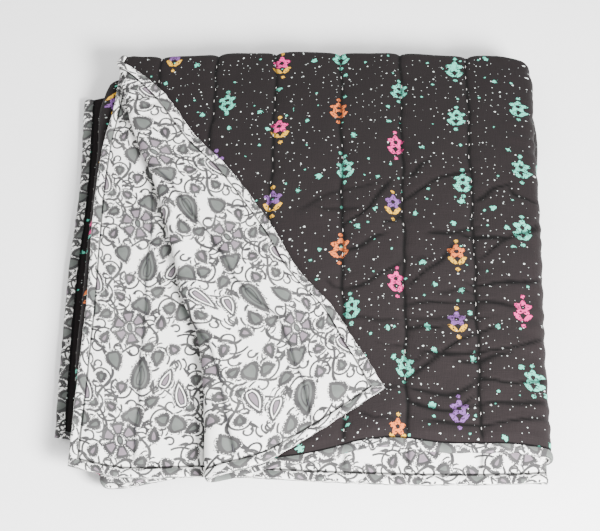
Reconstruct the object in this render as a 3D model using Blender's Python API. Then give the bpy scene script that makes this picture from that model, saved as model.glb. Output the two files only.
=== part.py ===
"""A reversible hand-quilted throw, folded into a block of eight layers with one corner turned back.

The throw is folded in half along its far edge. The double cloth is then folded back and forth three times
from side to side, into four panels that lie on each other. Its bound side edges end at the left, and the
lower left corner of the top layer is rolled back over the block.

All sizes are in millimetres until the last step, which scales them to metres. On the flat cloth, u runs
across it, from the top panel's free edge, and v runs along it, from the far fold: positive on the half that
ends on top, negative on the half under it. w is the height above the cloth's middle, towards its dark side.
"""

import math

import bpy
import bmesh
import numpy as np
from mathutils import Vector

MM = 0.001

# Cloth
CHANNEL = 85.0
CHANNELS_PER_PANEL = 7
PANELS = 4
HALF_LENGTH = 620.0
CREST_THICKNESS = 3.0
SEAM_THICKNESS = 1.2
BETWEEN_PANELS = 0.4
PANEL_EDGE_INSET = 1.7

# Binding
BINDING_WIDTH = 13.0
BINDING_CLOTH = 1.0
BINDING_CLEARANCE = 0.6

# Folded block
LAYER_PITCH = 7.6
FOLD_SEGMENTS = 4
ROWS_PER_HALF = 4
TOP_CHANNEL_SEGMENTS = 3
HIDDEN_CHANNEL_SEGMENTS = 2

# Middle of the block, seen from above, before it is moved to the origin
BLOCK_CENTRE_X = 8.2
BLOCK_CENTRE_Y = 23.4

# Far folds of the four panels: place across the cloth in panels, y
FAR_FOLD = [
    (0.00, 336.0),
    (0.12, 331.0),
    (0.45, 337.0),
    (0.80, 336.0),
    (0.95, 336.0),
    (1.00, 322.0),
    (1.10, 326.0),
    (1.50, 328.0),
    (1.90, 318.0),
    (2.00, 304.0),
    (2.10, 314.0),
    (2.50, 322.0),
    (3.00, 312.0),
    (3.10, 318.0),
    (3.60, 320.0),
    (3.85, 306.0),
    (4.00, 292.0),
]

# Near bound edge of the half that ends on top: place across the cloth in panels, y
NEAR_EDGE_UPPER = [
    (0.00, -281.0),
    (0.06, -290.0),
    (0.17, -303.0),
    (0.25, -309.0),
    (0.34, -297.0),
    (0.44, -278.0),
    (0.51, -270.0),
    (0.60, -254.0),
    (0.69, -249.0),
    (0.78, -256.0),
    (0.93, -258.0),
    (1.00, -264.0),
    (1.50, -272.0),
    (2.00, -276.0),
    (2.50, -270.0),
    (3.00, -262.0),
    (3.60, -254.0),
    (3.90, -222.0),
    (4.00, -210.0),
]

# Near bound edge of the half under it: place across the cloth in panels, y
NEAR_EDGE_LOWER = [
    (0.00, -270.0),
    (0.09, -283.0),
    (0.30, -284.0),
    (0.56, -292.0),
    (1.00, -292.0),
    (1.10, -287.0),
    (1.50, -284.0),
    (1.78, -280.0),
    (1.90, -287.0),
    (2.00, -288.0),
    (2.20, -272.0),
    (3.00, -268.0),
    (3.60, -258.0),
    (3.90, -228.0),
    (4.00, -216.0),
]

# Side folds, from the top panel down: y, x of the fold's centre line
SIDE_FOLDS = [
    [(338.0, 287.0), (327.0, 297.0), (298.0, 305.0), (240.0, 302.5), (58.0, 299.0), (-116.0, 291.0), (-293.0, 288.0)],
    [(316.0, -236.0), (306.0, -247.0), (280.0, -257.0), (190.0, -260.0), (-37.0, -265.0), (-150.0, -265.0),
     (-215.0, -252.0), (-290.0, -221.0)],
    [(330.0, 280.0), (298.0, 296.0), (58.0, 292.0), (-293.0, 281.0)],
]

# Free side edges: y, x
TOP_EDGE_UPPER = [(336.0, -246.0), (242.0, -292.0), (152.0, -291.0), (73.0, -291.0), (-9.0, -296.0), (-80.0, -299.0),
                  (-151.0, -300.0), (-281.0, -335.0)]
TOP_EDGE_LOWER = [(336.0, -246.0), (248.0, -255.0), (199.0, -264.0), (120.0, -269.5), (-45.0, -271.0), (-290.0, -279.0)]
BOTTOM_EDGE = [(292.0, -300.0), (128.0, -298.0), (0.0, -303.0), (-216.0, -302.0)]

# Quilted seams of the top panel, from its free edge: x at the far fold, x at the near edge of its upper half,
# x at the near edge of its lower half
TOP_SEAMS = [
    (-190.0, -243.0, -198.0),
    (-112.0, -148.0, -115.0),
    (-32.0, -49.0, -32.0),
    (56.0, 53.0, 54.0),
    (138.0, 127.0, 130.0),
    (228.0, 216.0, 216.0),
]
SEAMS_FAR_Y = 336.0
SEAMS_NEAR_Y = -285.0

# Turned-back corner: the line along which the top layer leaves the block, and the roll there
ROLL_FAR = (-250.0, 334.0)
ROLL_NEAR = (-100.0, -285.0)
ROLL_RADIUS = [(0.0, 6.4), (0.3, 6.4), (0.65, 7.0), (0.85, 9.0), (1.0, 10.5)]
ROLL_FLATNESS = [(0.0, 1.0), (0.6, 1.0), (0.85, 1.4), (1.0, 2.3)]
ROLL_BOW = [(0.0, 0.0), (0.13, 0.0), (0.26, -10.0), (0.33, -15.0), (0.50, -19.0), (0.62, -19.0), (0.72, -27.0),
            (0.80, -24.0), (0.88, -20.0), (1.0, -14.0)]
ROLL_SEGMENTS = 10
ROLL_DESCENT = 5.0
LIFT = 10000.0

# Slow rise and fall of the whole block
SWELL = 0.03
SWELL_LENGTH_X = 190.0
SWELL_LENGTH_Y = 240.0

# Sizes worked out from those above
PANEL_WIDTH = CHANNEL * CHANNELS_PER_PANEL
CLOTH_WIDTH = PANEL_WIDTH * PANELS
PANEL_PITCH = 2 * LAYER_PITCH
TURN_RADIUS = PANEL_PITCH / 2
HALF_TURN = math.pi * TURN_RADIUS / 2
HAIRPIN_RADIUS = LAYER_PITCH / 2
HALF_HAIRPIN = math.pi * HAIRPIN_RADIUS / 2
OUTER_CREST = BETWEEN_PANELS / 2 + CREST_THICKNESS
LOWEST_PANEL = OUTER_CREST + HAIRPIN_RADIUS
PANEL_HEIGHTS = np.array([LOWEST_PANEL + PANEL_PITCH * (PANELS - 1 - i) for i in range(PANELS)])
TOP_LAYER = PANEL_HEIGHTS[0] + HAIRPIN_RADIUS
THIN_EDGE = BINDING_WIDTH + BINDING_CLEARANCE
FULL_EDGE = THIN_EDGE + 20.0


def smooth(table, at):
    """A smooth curve through the rows (place, value) of a table, level past its ends."""
    places, values = np.array(sorted(table)).T
    slopes = np.gradient(values, places)
    at = np.clip(at, places[0], places[-1])
    i = np.clip(np.searchsorted(places, at) - 1, 0, len(places) - 2)
    step = places[i + 1] - places[i]
    t = (at - places[i]) / step
    start = (1 + 2 * t) * (1 - t) ** 2 * values[i] + t * (1 - t) ** 2 * step * slopes[i]
    end = t**2 * (3 - 2 * t) * values[i + 1] + t**2 * (t - 1) * step * slopes[i + 1]
    return start + end


def top_panel_x(u, y, upper):
    """x on the top panel, whose seams fan out a little towards the near edge."""
    down = np.clip((SEAMS_FAR_Y - y) / (SEAMS_FAR_Y - SEAMS_NEAR_Y), 0, 1)
    edge = np.where(upper, smooth(TOP_EDGE_UPPER, y), smooth(TOP_EDGE_LOWER, y))
    lines = [edge]
    for far, near_upper, near_lower in TOP_SEAMS:
        near = np.where(upper, near_upper, near_lower)
        lines.append(far + (near - far) * down)
    lines.append(smooth(SIDE_FOLDS[0], y))
    places = [CHANNEL * i for i in range(CHANNELS_PER_PANEL)] + [PANEL_WIDTH - HALF_TURN]
    x = np.zeros_like(u)
    for i in range(len(places) - 1):
        t = (u - places[i]) / (places[i + 1] - places[i])
        inside = (t >= 0) & (t <= 1)
        x = np.where(inside, lines[i] + (lines[i + 1] - lines[i]) * t, x)
    return x


def folded(u, v, w):
    """Where points (u, v, w) of the flat cloth lie in the folded block, before its corner is turned back."""
    upper = v >= 0
    # the far fold, seen from the side: q towards the near edge, n above the double cloth's middle
    turned = np.clip(v / HAIRPIN_RADIUS, -math.pi / 2, math.pi / 2)
    n = (HAIRPIN_RADIUS + w) * np.sin(turned)
    q = HAIRPIN_RADIUS - (HAIRPIN_RADIUS + w) * np.cos(turned)
    run = np.maximum(np.abs(v) - HALF_HAIRPIN, 0)
    far = smooth(FAR_FOLD, u / PANEL_WIDTH)
    near = np.where(upper, smooth(NEAR_EDGE_UPPER, u / PANEL_WIDTH), smooth(NEAR_EDGE_LOWER, u / PANEL_WIDTH))
    y = far - q - run * (far - HAIRPIN_RADIUS - near) / (HALF_LENGTH - HALF_HAIRPIN)
    # the side folds, seen from the near edge
    panel = np.clip((u // PANEL_WIDTH).astype(int), 0, PANELS - 1)
    across = u - panel * PANEL_WIDTH
    start = np.where(panel == 0, 0.0, HALF_TURN)
    end = np.where(panel == PANELS - 1, PANEL_WIDTH, PANEL_WIDTH - HALF_TURN)
    part = np.clip((across - start) / (end - start), 0, 1)
    leaving = across > end
    entering = across < start
    angle = np.where(leaving, (across - end) / HALF_TURN, 1 + across / HALF_TURN) * math.pi / 2
    fold = np.where(leaving, panel, panel - 1)
    side = np.where(fold % 2 == 0, 1.0, -1.0)
    up = np.where(panel % 2 == 0, 1.0, -1.0)
    folds = [smooth(table, y) for table in SIDE_FOLDS]
    centre = np.choose(np.clip(fold, 0, PANELS - 2), folds)
    level = np.interp(fold + 0.5, np.arange(PANELS), PANEL_HEIGHTS)
    fold_x = centre + (side * TURN_RADIUS + n) * np.sin(angle)
    fold_z = level + (side * TURN_RADIUS + n) * side * np.cos(angle)
    starts = [folds[0], folds[0], folds[1], folds[2]]
    ends = [folds[0], folds[1], folds[2], smooth(BOTTOM_EDGE, y)]
    straight_x = np.choose(panel, starts) * (1 - part) + np.choose(panel, ends) * part
    straight_x = np.where(panel == 0, top_panel_x(np.minimum(across, end), y, upper), straight_x)
    straight_z = PANEL_HEIGHTS[panel] + up * n
    turning = leaving | entering
    return np.where(turning, fold_x, straight_x), y, np.where(turning, fold_z, straight_z)


def roll_frame():
    """The roll line's start, its unit direction, the unit direction towards the rolled side, its length."""
    start = np.array(ROLL_FAR)
    run = np.array(ROLL_NEAR) - start
    length = float(np.hypot(*run))
    along = run / length
    return start, along, np.array([along[1], -along[0]]), length


def roll_sizes(place):
    """The roll's height from its middle, its flatness, its mean radius and its bow at a place along it."""
    at = place / roll_frame()[3]
    radius, flatness = smooth(ROLL_RADIUS, at), smooth(ROLL_FLATNESS, at)
    return radius, flatness, radius * (1 + flatness) / 2, smooth(ROLL_BOW, at)


def to_roll(x, y):
    """Place along the roll line, and the distance past it counted in the roll's mean radii."""
    start, along, aside, length = roll_frame()
    place = (x - start[0]) * along[0] + (y - start[1]) * along[1]
    radius, flatness, mean, bow = roll_sizes(place)
    past = (x - start[0]) * aside[0] + (y - start[1]) * aside[1] - bow
    return place, past / mean


def roll_stages():
    """The distances past the roll line, in mean radii, at which the mesh is cut so that it can bend."""
    return [i * math.pi / ROLL_SEGMENTS for i in range(ROLL_SEGMENTS + 1)] + [math.pi + ROLL_DESCENT]


def from_roll(place, radii, w):
    """Where a point of the top layer lies once its corner is rolled back: (x, y, z)."""
    start, along, aside, length = roll_frame()
    radius, flatness, mean, bow = roll_sizes(place)
    turn = np.clip(radii, 0, math.pi)
    down = np.clip((radii - math.pi) / ROLL_DESCENT, 0, 1)
    out = mean * (np.minimum(radii, 0) - np.maximum(radii - math.pi, 0)) + flatness * radius * np.sin(turn)
    rise = radius * (1 - np.cos(turn)) - (2 * radius - LAYER_PITCH) * down**2 * (3 - 2 * down)
    norm = np.hypot(np.sin(turn), flatness * np.cos(turn))
    out = out - w * np.sin(turn) / norm + bow
    rise = rise + w * flatness * np.cos(turn) / norm
    x = start[0] + place * along[0] + out * aside[0]
    y = start[1] + place * along[1] + out * aside[1]
    return x, y, TOP_LAYER + rise


def thickness(u, v, under_block):
    """A panel's thickness: full on a channel's crest, thin at its seams and under the binding."""
    crest = np.where(under_block, 1.0, np.abs(np.sin(math.pi * u / CHANNEL)) ** 0.6)
    inset = np.minimum(np.minimum(u, CLOTH_WIDTH - u), HALF_LENGTH - np.abs(v))
    near_edge = np.clip((inset - THIN_EDGE) / (FULL_EDGE - THIN_EDGE), 0, 1)
    return SEAM_THICKNESS + (CREST_THICKNESS - SEAM_THICKNESS) * crest * near_edge


def is_on_top(u, v):
    """The top layer, from its free edge to its side fold and its far fold."""
    return -1 < u < PANEL_WIDTH - HALF_TURN + 1 and v > HALF_HAIRPIN - 1


def is_under_block(u, v):
    """The lowest layer's part that lies flat on what carries the block."""
    return (u > (PANELS - 1) * PANEL_WIDTH + HALF_TURN) & (v > HALF_HAIRPIN)


def columns():
    """The places across the cloth of the mesh's lines: even in each panel, and closer on the side folds."""
    places = []
    for panel in range(PANELS):
        segments = TOP_CHANNEL_SEGMENTS if panel == 0 else HIDDEN_CHANNEL_SEGMENTS
        count = segments * CHANNELS_PER_PANEL
        places += [(panel + i / count) * PANEL_WIDTH for i in range(count + 1)]
    for fold in range(1, PANELS):
        middle = fold * PANEL_WIDTH
        places = [place for place in places if abs(place - middle) > HALF_TURN + 4]
        places += [middle + HALF_TURN * (2 * i / FOLD_SEGMENTS - 1) for i in range(FOLD_SEGMENTS + 1)]
    return sorted(places)


def rows():
    """The places along the cloth of the mesh's lines, on both halves, up to the thin rim."""
    half = [HALF_HAIRPIN * i * 2 / FOLD_SEGMENTS for i in range(FOLD_SEGMENTS // 2 + 1)]
    run = HALF_LENGTH - FULL_EDGE - HALF_HAIRPIN
    half += [HALF_HAIRPIN + run * i / ROWS_PER_HALF for i in range(1, ROWS_PER_HALF + 1)]
    return sorted({-v for v in half} | set(half))


def inner_columns():
    """The lines across the cloth, without the two free edges."""
    return columns()[1:-1]


def laid_grid(bm, across, along):
    """A grid whose lines lie at the given places; each point's z is left at 0."""
    bmesh.ops.create_grid(bm, x_segments=len(across) - 1, y_segments=len(along) - 1, size=1)
    for vert in bm.verts:
        i = round((vert.co.x + 1) / 2 * (len(across) - 1))
        j = round((vert.co.y + 1) / 2 * (len(along) - 1))
        vert.co = Vector((across[i], along[j], 0))


def panel_lines():
    """The mesh's lines for a panel, which ends under the binding."""
    rim = [PANEL_EDGE_INSET, THIN_EDGE]
    across = rim + inner_columns() + [CLOTH_WIDTH - inset for inset in reversed(rim)]
    along = [inset - HALF_LENGTH for inset in rim] + rows() + [HALF_LENGTH - inset for inset in reversed(rim)]
    return across, along


def flat_panel(facing):
    """A flat panel as a closed slab; facing is 1 for the dark face and -1 for the floral backing."""
    bm = bmesh.new()
    laid_grid(bm, *panel_lines())
    outer = bmesh.ops.extrude_face_region(bm, geom=bm.faces[:])["geom"]
    outer = {vert for vert in outer if isinstance(vert, bmesh.types.BMVert)}
    for vert in bm.verts:
        height = BETWEEN_PANELS / 2
        if vert in outer:
            lowest = facing > 0 and is_under_block(vert.co.x, vert.co.y)
            height += float(thickness(vert.co.x, vert.co.y, lowest))
        vert.co.z = facing * height
    return bm


def binding_section():
    """The binding's folded strip, seen from its end: (distance in from the edge, height)."""
    inner = BETWEEN_PANELS / 2 + SEAM_THICKNESS + BINDING_CLEARANCE
    outer = inner + BINDING_CLOTH
    wall = PANEL_EDGE_INSET - BINDING_CLEARANCE
    rounded = outer - BINDING_CLOTH / 2
    top = [(BINDING_WIDTH, outer), (0.0, rounded)]
    slot = [(wall, inner), (BINDING_WIDTH, inner)]
    return top + [(d, -h) for d, h in reversed(top)] + [(d, -h) for d, h in reversed(slot)] + slot


def binding_stations():
    """Places round the cloth's edge, each as a function of the distance in from the edge."""
    across = inner_columns()
    along = rows()
    stations = [lambda d: (d, HALF_LENGTH - d)]
    stations += [lambda d, u=u: (u, HALF_LENGTH - d) for u in across]
    stations += [lambda d: (CLOTH_WIDTH - d, HALF_LENGTH - d)]
    stations += [lambda d, v=v: (CLOTH_WIDTH - d, v) for v in reversed(along)]
    stations += [lambda d: (CLOTH_WIDTH - d, d - HALF_LENGTH)]
    stations += [lambda d, u=u: (u, d - HALF_LENGTH) for u in reversed(across)]
    stations += [lambda d: (d, d - HALF_LENGTH)]
    stations += [lambda d, v=v: (d, v) for v in along]
    return stations


def flat_binding():
    """The flat binding: its section carried round the cloth's edge and closed on itself."""
    section = binding_section()
    stations = binding_stations()
    bm = bmesh.new()
    bmesh.ops.create_grid(bm, x_segments=len(stations), y_segments=len(section), size=1)
    for vert in bm.verts:
        i = round((vert.co.x + 1) / 2 * len(stations)) % len(stations)
        j = round((vert.co.y + 1) / 2 * len(section)) % len(section)
        inset, height = section[j]
        u, v = stations[i](inset)
        vert.co = Vector((u, v, height))
    bmesh.ops.remove_doubles(bm, verts=bm.verts[:], dist=0.01)
    return bm


def coordinates(verts):
    return np.array([vert.co for vert in verts]).T.astype(float)


def place(verts, x, y, z):
    for vert, *position in zip(verts, x, y, z):
        vert.co = Vector(position)


def cut_for_roll(bm):
    """Cuts the top layer across, where the roll bends it. It lies lifted, as (place, radii, height)."""
    for stage in roll_stages():
        faces = [f for f in bm.faces if all(v.co.z > LIFT / 2 for v in f.verts)]
        geom = list({v for f in faces for v in f.verts}) + list({e for f in faces for e in f.edges}) + faces
        bmesh.ops.bisect_plane(
            bm, geom=geom, dist=0.02, plane_co=(0, stage, 0), plane_no=(0, 1, 0), clear_inner=False, clear_outer=False
        )


def fold_up(bm):
    """Folds a flat piece into the block and rolls the top layer's corner back."""
    verts = bm.verts[:]
    top = [vert for vert in verts if is_on_top(vert.co.x, vert.co.y)]
    place(verts, *folded(*coordinates(verts)))
    x, y, z = coordinates(top)
    place(top, *to_roll(x, y), z - TOP_LAYER + LIFT)
    cut_for_roll(bm)
    bmesh.ops.triangulate(bm, faces=bm.faces[:], quad_method="FIXED")
    top = [vert for vert in bm.verts if vert.co.z > LIFT / 2]
    along, radii, height = coordinates(top)
    place(top, *from_roll(along, radii, height - LIFT))
    verts = bm.verts[:]
    x, y, z = coordinates(verts)
    swell = 1 + SWELL * np.sin(x / SWELL_LENGTH_X + 0.6) * np.cos(y / SWELL_LENGTH_Y)
    place(verts, (x - BLOCK_CENTRE_X) * MM, (y - BLOCK_CENTRE_Y) * MM, z * swell * MM)
    bmesh.ops.recalc_face_normals(bm, faces=bm.faces[:])
    if bm.calc_volume(signed=True) < 0:
        bmesh.ops.reverse_faces(bm, faces=bm.faces[:])
    return bm


def cloth_material(name, colour, roughness):
    material = bpy.data.materials.new(name)
    material.use_nodes = True
    shader = material.node_tree.nodes["Principled BSDF"]
    shader.inputs["Base Color"].default_value = (*colour, 1)
    shader.inputs["Roughness"].default_value = roughness
    shader.inputs["Metallic"].default_value = 0
    return material


def add_piece(name, bm, material):
    """A named object from a finished bmesh."""
    mesh = bpy.data.meshes.new(name)
    bm.to_mesh(mesh)
    bm.free()
    mesh.materials.append(material)
    mesh.shade_smooth()
    piece = bpy.data.objects.new(name, mesh)
    bpy.context.scene.collection.objects.link(piece)


def main():
    for item in list(bpy.data.objects):
        bpy.data.objects.remove(item)
    dark = cloth_material("charcoal_cotton", (0.045, 0.035, 0.036), 0.9)
    floral = cloth_material("cream_cotton", (0.82, 0.81, 0.77), 0.9)
    trim = cloth_material("binding_cotton", (0.70, 0.69, 0.68), 0.9)
    add_piece("face_panel", fold_up(flat_panel(1)), dark)
    add_piece("backing_panel", fold_up(flat_panel(-1)), floral)
    add_piece("binding", fold_up(flat_binding()), trim)


main()
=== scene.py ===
"""The looks of a folded, reversible, hand-quilted cotton throw.

Places on the open cloth are in millimetres. u runs across it, from the top panel's free edge, and v runs
along it, from the far fold: positive on the half that ends on top, negative on the half under it. w is the
height above the cloth's middle, towards its dark side. The finished meshes are in metres.
"""

import math

import bmesh
import bpy
import numpy as np
from bpy.props import FloatProperty, FloatVectorProperty, PointerProperty
from bpy.types import Operator, Panel, PropertyGroup
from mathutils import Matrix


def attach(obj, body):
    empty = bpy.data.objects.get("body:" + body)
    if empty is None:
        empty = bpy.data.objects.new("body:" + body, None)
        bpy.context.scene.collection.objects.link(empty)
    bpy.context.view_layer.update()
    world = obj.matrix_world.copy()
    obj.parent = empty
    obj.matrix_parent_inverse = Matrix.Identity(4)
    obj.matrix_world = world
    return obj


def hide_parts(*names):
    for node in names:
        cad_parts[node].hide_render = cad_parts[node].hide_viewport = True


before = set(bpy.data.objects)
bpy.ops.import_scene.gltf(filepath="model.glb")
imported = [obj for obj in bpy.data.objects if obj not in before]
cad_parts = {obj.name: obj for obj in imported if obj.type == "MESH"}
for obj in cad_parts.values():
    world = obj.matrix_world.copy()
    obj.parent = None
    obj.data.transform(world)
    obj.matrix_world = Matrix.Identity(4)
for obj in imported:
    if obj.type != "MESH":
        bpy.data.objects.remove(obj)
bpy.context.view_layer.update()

bl_info = {
    "name": "Folded quilted throw",
    "version": (1, 0, 0),
    "blender": (4, 5, 0),
    "location": "View3D > Sidebar > Throw",
    "description": "Builds the printed, quilted cloth of a folded throw on its solids",
    "category": "Object",
}

MM = 0.001

# The open cloth
CHANNEL = 85.0
CHANNELS_PER_PANEL = 7
PANELS = 4
HALF_LENGTH = 620.0
PANEL_WIDTH = CHANNEL * CHANNELS_PER_PANEL
CLOTH_WIDTH = PANEL_WIDTH * PANELS
BETWEEN_PANELS = 0.4
BINDING_WIDTH = 13.0
PANEL_EDGE_INSET = 1.7

# The folded block
LAYER_PITCH = 7.6
PANEL_PITCH = 2 * LAYER_PITCH
TURN_RADIUS = PANEL_PITCH / 2
HALF_TURN = math.pi * TURN_RADIUS / 2
HAIRPIN_RADIUS = LAYER_PITCH / 2
HALF_HAIRPIN = math.pi * HAIRPIN_RADIUS / 2
PANEL_HEIGHTS = np.array([7.0 + PANEL_PITCH * (PANELS - 1 - i) for i in range(PANELS)])
TOP_LAYER = PANEL_HEIGHTS[0] + HAIRPIN_RADIUS
BLOCK_CENTRE_X = 8.2
BLOCK_CENTRE_Y = 23.4
AIM_HEIGHT = 59.6
SWELL = 0.03
SWELL_LENGTH_X = 190.0
SWELL_LENGTH_Y = 240.0

# Far folds: place across the cloth in panels, y
FAR_FOLD = [
    (0.00, 336.0), (0.12, 331.0), (0.45, 337.0), (0.80, 332.0), (0.95, 328.0), (1.00, 321.0), (1.10, 326.0),
    (1.50, 328.0), (1.90, 318.0), (2.00, 304.0), (2.10, 314.0), (2.50, 322.0), (3.00, 312.0), (3.10, 318.0),
    (3.60, 320.0), (3.85, 306.0), (4.00, 292.0),
]

# Near bound edges of the half that ends on top and of the half under it: place across in panels, y
NEAR_EDGE_UPPER = [
    (0.00, -281.0), (0.06, -290.0), (0.17, -303.0), (0.25, -309.0), (0.34, -297.0), (0.44, -278.0),
    (0.51, -270.0), (0.60, -254.0), (0.69, -249.0), (0.78, -256.0), (0.93, -258.0), (1.00, -264.0),
    (1.50, -272.0), (2.00, -276.0), (2.50, -270.0), (3.00, -262.0), (3.60, -254.0), (3.90, -222.0),
    (4.00, -210.0),
]
NEAR_EDGE_LOWER = [
    (0.00, -270.0), (0.09, -283.0), (0.30, -284.0), (0.56, -292.0), (1.00, -292.0), (1.10, -287.0),
    (1.50, -284.0), (1.78, -280.0), (1.90, -287.0), (2.00, -288.0), (2.20, -272.0), (3.00, -268.0),
    (3.60, -258.0), (3.90, -228.0), (4.00, -216.0),
]

# Side folds, from the top panel down, and the free side edges: y, x
SIDE_FOLDS = [
    [(338.0, 287.0), (327.0, 297.0), (298.0, 305.0), (240.0, 302.5), (58.0, 299.0), (-116.0, 291.0),
     (-293.0, 288.0)],
    [(316.0, -236.0), (306.0, -247.0), (280.0, -257.0), (190.0, -260.0), (-37.0, -265.0), (-150.0, -265.0),
     (-215.0, -252.0), (-290.0, -221.0)],
    [(330.0, 280.0), (298.0, 296.0), (58.0, 292.0), (-293.0, 281.0)],
]
TOP_EDGE_UPPER = [
    (336.0, -246.0), (242.0, -292.0), (152.0, -291.0), (73.0, -291.0), (-9.0, -296.0), (-80.0, -299.0),
    (-151.0, -300.0), (-281.0, -335.0),
]
TOP_EDGE_LOWER = [
    (336.0, -246.0), (248.0, -255.0), (199.0, -264.0), (120.0, -269.5), (-45.0, -271.0), (-290.0, -279.0),
]
BOTTOM_EDGE = [(292.0, -300.0), (128.0, -298.0), (0.0, -303.0), (-216.0, -302.0)]

# Quilted seams of the top panel: x at the far fold, at the near edge of its upper and of its lower half
TOP_SEAMS = [
    (-190.0, -243.0, -198.0),
    (-112.0, -148.0, -115.0),
    (-32.0, -49.0, -32.0),
    (56.0, 53.0, 54.0),
    (138.0, 127.0, 130.0),
    (228.0, 216.0, 216.0),
]
SEAMS_FAR_Y = 336.0
SEAMS_NEAR_Y = -285.0

# Turned-back corner: the line along which the top layer leaves the block, and the roll there
ROLL_FAR = (-250.0, 334.0)
ROLL_NEAR = (-100.0, -285.0)
ROLL_RADIUS = [(0.0, 5.6), (0.12, 6.4), (0.3, 6.4), (0.65, 7.0), (0.85, 9.0), (1.0, 10.5)]
ROLL_FLATNESS = [(0.0, 1.0), (0.6, 1.0), (0.85, 1.4), (1.0, 2.3)]
ROLL_BOW = [
    (0.0, -3.0), (0.06, -4.5), (0.13, -3.5), (0.26, -8.5), (0.33, -15.0), (0.50, -19.0), (0.62, -19.0),
    (0.72, -27.0), (0.80, -24.0), (0.88, -20.0), (1.0, -14.0),
]
ROLL_DESCENT = 5.0

# Places of the mesh's lines within a channel, from one seam to the next
FINE_CHANNEL = [0.0, 1.3, 3.4, 6.2] + [9.4 + 3.48 * i for i in range(20)] + [78.8, 81.6, 83.7]
COARSE_CHANNEL = [0.0, 6.0, 24.0, 42.5, 61.0, 79.0]
UPPER_ROW = 3.1
LOWER_ROW = 10.0
TURN_SEGMENTS = 10
HAIRPIN_SEGMENTS = 8

# How wide the painted shade is at a seam, to each side
FACE_SEAM_SHADE = 2.3
BACKING_SEAM_SHADE = 2.2

# Small pleats of the backing, beside the far fold: their middle in from the side edge, their reach, height
PLEATS_AT = 30
PLEATS_WIDTH = 24
PLEATS_HEIGHT = 1.5

# How narrow a crease's trough is, as a share of the half width given below
CREASE_WIDTH = 0.5

# Drag creases on the top layer: x and y of both ends, bow to the left of that line, depth, half width
CREASES = [
    (-2, 82, 112, 125, 7, 1.0, 6),
    (22, 87, 82, 88, -5, 1.0, 6),
    (58, 60, 118, 129, -6, 2.6, 5),
    (58, 18, 111, 48, 0, 1.7, 6),
    (107, 60, 133, 74, 0, 1.7, 6),
    (135, 97, 224, 145, 6, 2.6, 5),
    (59, -36, 131, 7, -4, 1.7, 6),
    (32, -25, 55, -36, 0, 1.0, 6),
    (141, 132, 172, 163, -1, 1.7, 6),
    (229, 95, 276, 123, 3, 2.6, 5),
    (273, 114, 313, 94, -7, 1.7, 6),
    (164, 44, 233, 56, -2, 1.7, 6),
    (206, 45, 311, 62, -14, 2.6, 5),
    (230, 10, 310, 56, 6, 2.6, 5),
    (137, -28, 198, 29, -3, 2.6, 5),
    (149, 8, 169, 10, 0, 1.0, 6),
    (211, -27, 306, -21, -4, 2.6, 5),
    (172, -44, 221, -41, 5, 1.0, 6),
    (128, -162, 247, -85, 6, 2.6, 5),
    (154, -124, 303, -102, -11, 2.6, 5),
    (132, -142, 156, -124, 0, 1.0, 6),
    (129, -88, 178, -88, -2, 1.7, 6),
    (133, -60, 275, -63, 8, 1.7, 6),
    (214, -161, 303, -165, -2, 2.6, 5),
    (131, -171, 219, -162, -15, 1.7, 6),
    (131, -188, 213, -183, -17, 2.6, 5),
    (42, -195, 128, -172, 10, 1.7, 6),
    (81, -111, 130, -116, 0, 1.0, 6),
    (190, -139, 261, -123, -3, 1.7, 6),
    (152, -218, 299, -212, -5, 1.7, 6),
    (200, -197, 302, -195, 3, 1.7, 6),
    (70, -206, 116, -216, 0, 1.0, 6),
    (135, -76, 244, -73, -3, 1.0, 6),
    (62, -76, 122, -81, 0, 1.0, 6),
]

# Bound edge of the turned-back corner, where it lies on the top layer: y, x
FLAP_EDGE = [
    (329.0, -244.0), (269.0, -187.0), (191.0, -133.0), (124.0, -85.0), (55.0, -38.0), (-5.0, 0.0),
    (-69.0, 37.0), (-173.0, 99.0), (-176.0, 90.0), (-244.0, 0.0), (-273.0, -44.0),
]

# Floral print. Places are from a flower's centre, in a repeat of this size; turns are from upright
REPEAT = (124.0, 153.0)
FLOWER_AT = (66.0, 40.0)
# Next to the far fold, on the upper half, the prints are pushed together by this much over this distance
FAR_FOLD_SHIFT = 21.0
FAR_FOLD_REACH = 150
# x, y, half width, half length, turn
GREY_LEAVES = [
    (20, -62, 12.0, 23.0, -8),
    (-16, -48, 10.5, 13.5, 200),
    (16, -122, 10.5, 14.0, 212),
    (-55, -131, 10.5, 12.5, 20),
    (36, -100, 7.0, 10.0, -60),
    (41, -42, 7.5, 11.0, 172),
    (-33, -74, 6.0, 7.5, 180),
    (-41, -108, 6.5, 7.5, 0),
    (27, -27, 6.5, 8.0, 100),
    (50, -125, 8.0, 9.0, 80),
    (-36, 14, 6.0, 9.0, 120),
    (6, 33, 6.0, 8.0, -30),
]
LILAC_LEAVES = [
    (-5, -84, 7.0, 8.0, 178),
    (42, 8, 6.0, 10.0, 0),
    (-33, -18, 5.5, 9.0, -25),
    (60, -30, 6.0, 8.0, 40),
    (-18, -110, 5.5, 8.0, 60),
]
RINGED_LEAVES = [
    (72, -92, 9.0, 19.0, 12),
    (53, -70, 8.5, 15.0, -22),
]
COMMAS = [
    (-12, -100, 1.9, 7.0, 150),
    (36, -78, 1.8, 7.0, 200),
    (-46, -6, 1.8, 6.0, 100),
    (4, -36, 1.8, 6.0, 60),
    (60, -50, 1.7, 6.5, -30),
    (-14, 30, 1.8, 6.0, 250),
    (30, 24, 1.8, 6.0, 320),
    (-46, -62, 1.8, 6.5, 40),
    (2, -140, 1.8, 6.5, 120),
    (34, -140, 1.8, 6.0, 20),
]
# cell counts across and along the repeat, shift, least and greatest radius, half angle in radians
TENDRILS = [
    ((5, 6), (11.0, 2.0), 4.5, 7.5, 2.3),
]
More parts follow.
